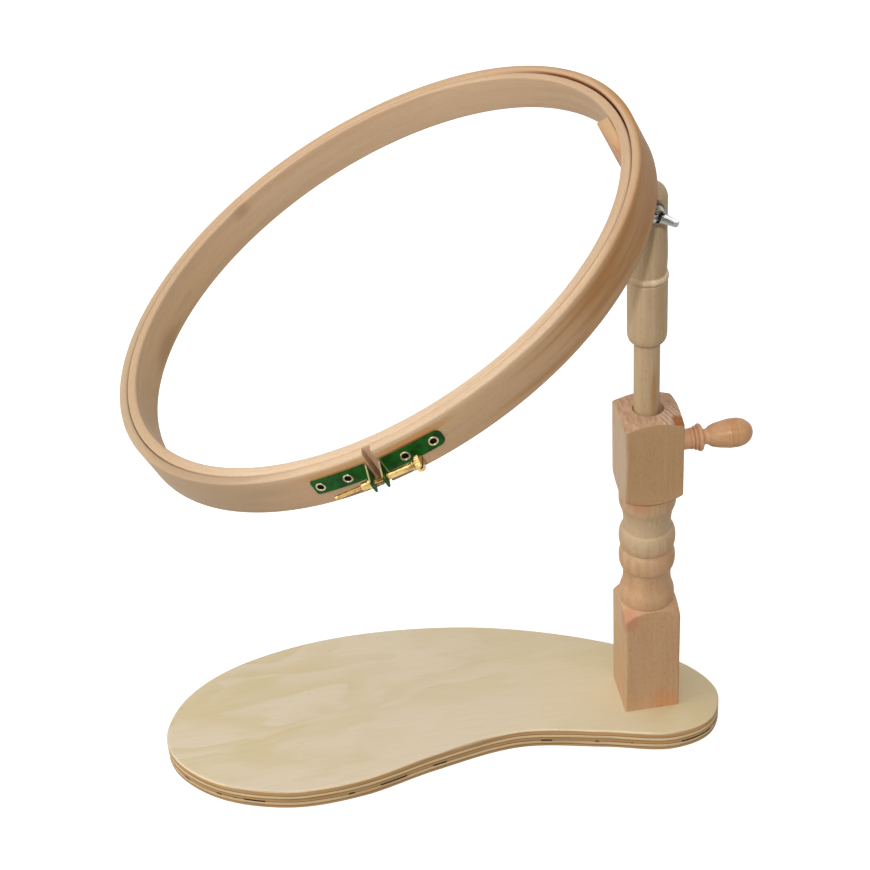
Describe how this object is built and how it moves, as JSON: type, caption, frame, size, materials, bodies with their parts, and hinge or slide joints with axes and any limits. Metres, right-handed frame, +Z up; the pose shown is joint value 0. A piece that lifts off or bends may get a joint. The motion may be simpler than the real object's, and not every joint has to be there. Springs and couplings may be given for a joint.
{
  "type": "seat embroidery hoop",
  "caption": "Sit-on embroidery hoop: wooden rings with a brass tension screw, tilting on a wing-nut pivot above a sliding stem in a turned post on a kidney-shaped board.",
  "frame": {"origin": "on the underside of the base board, on the axis of the post", "axes": "+Z up along the post, +X towards the clamp knob, +Y towards the back, away from the side with the tension screw"},
  "size_m": [0.3632, 0.3256, 0.4013],
  "materials": {
    "plywood": "satin",
    "post_wood": "satin",
    "ring_wood": "satin",
    "knob_wood": "polished",
    "block_wood": "satin",
    "pad_wood": "matt",
    "brass": "bright",
    "zinc": "zinc plated",
    "steel": "plain",
    "green_paint": "gloss"
  },
  "bodies": {
    "stand": {"base_board": "plywood", "base_screw_1": "steel", "base_screw_2": "steel", "post": "post_wood"},
    "clamp_pad": {"clamp_pad": "pad_wood"},
    "clamp_knob": {"clamp_knob": "knob_wood"},
    "stem": {"stem_dowel": "post_wood"},
    "head": {"stem_head": "post_wood"},
    "hoop": {"hoop_bracket": "block_wood", "inner_ring": "ring_wood", "pivot_bolt": "zinc"},
    "pivot_washer": {"pivot_washer": "zinc"},
    "wing_nut": {"wing_nut": "zinc"},
    "outer_hoop": {"outer_ring": "ring_wood", "plate_left": "green_paint", "plate_right": "green_paint", "eyelet_1": "brass", "eyelet_2": "brass", "eyelet_3": "brass", "eyelet_4": "brass", "tension_sleeve": "brass"},
    "tension_screw": {"tension_screw": "brass"},
    "tension_nut": {"tension_nut": "brass"}
  },
  "joints": [
    {"name": "clamp_press", "type": "slide", "parent": "stand", "child": "clamp_pad", "axis": [1, 0, 0], "range_m": [0, 0.004]},
    {"name": "clamp_turn", "type": "hinge", "parent": "clamp_pad", "child": "clamp_knob", "pos_m": [0.017, 0, 0.205], "axis": [1, 0, 0], "range_deg": [0, 360]},
    {"name": "stem_height", "type": "slide", "parent": "stand", "child": "stem", "axis": [0, 0, 1], "range_m": [-0.03, 0.06]},
    {"name": "head_swivel", "type": "hinge", "parent": "stem", "child": "head", "pos_m": [-0.0009, 0, 0.28], "axis": [0, 0, 1], "continuous": true},
    {"name": "hoop_tilt", "type": "hinge", "parent": "head", "child": "hoop", "pos_m": [-0.0009, 0, 0.3586], "axis": [-0.0765, 0.9971, 0], "range_deg": [-55, 80]},
    {"name": "washer_shift", "type": "slide", "parent": "head", "child": "pivot_washer", "axis": [0.0765, -0.9971, 0], "range_m": [0, 0.002]},
    {"name": "wing_nut_turn", "type": "hinge", "parent": "pivot_washer", "child": "wing_nut", "pos_m": [-0.0009, 0, 0.3586], "axis": [0.0765, -0.9971, 0], "range_deg": [0, 720]},
    {"name": "outer_ring_lift", "type": "slide", "parent": "hoop", "child": "outer_hoop", "axis": [-0.425, -0.0326, 0.9046], "range_m": [0, 0.03]},
    {"name": "tension_turn", "type": "hinge", "parent": "outer_hoop", "child": "tension_screw", "pos_m": [-0.16141, -0.13813, 0.30722], "axis": [0.8971, -0.1482, 0.4161], "range_deg": [0, 1440]},
    {"name": "tension_nut_travel", "type": "slide", "parent": "outer_hoop", "child": "tension_nut", "axis": [-0.8971, 0.1482, -0.4161], "range_m": [0, 0.002]}
  ],
  "couplings": [
    {"joint": "clamp_press", "follows": "clamp_turn", "m_per_rad": 0.00063661},
    {"joint": "washer_shift", "follows": "wing_nut_turn", "m_per_rad": 0.00015915},
    {"joint": "tension_nut_travel", "follows": "tension_turn", "m_per_rad": 0.000079577}
  ]
}
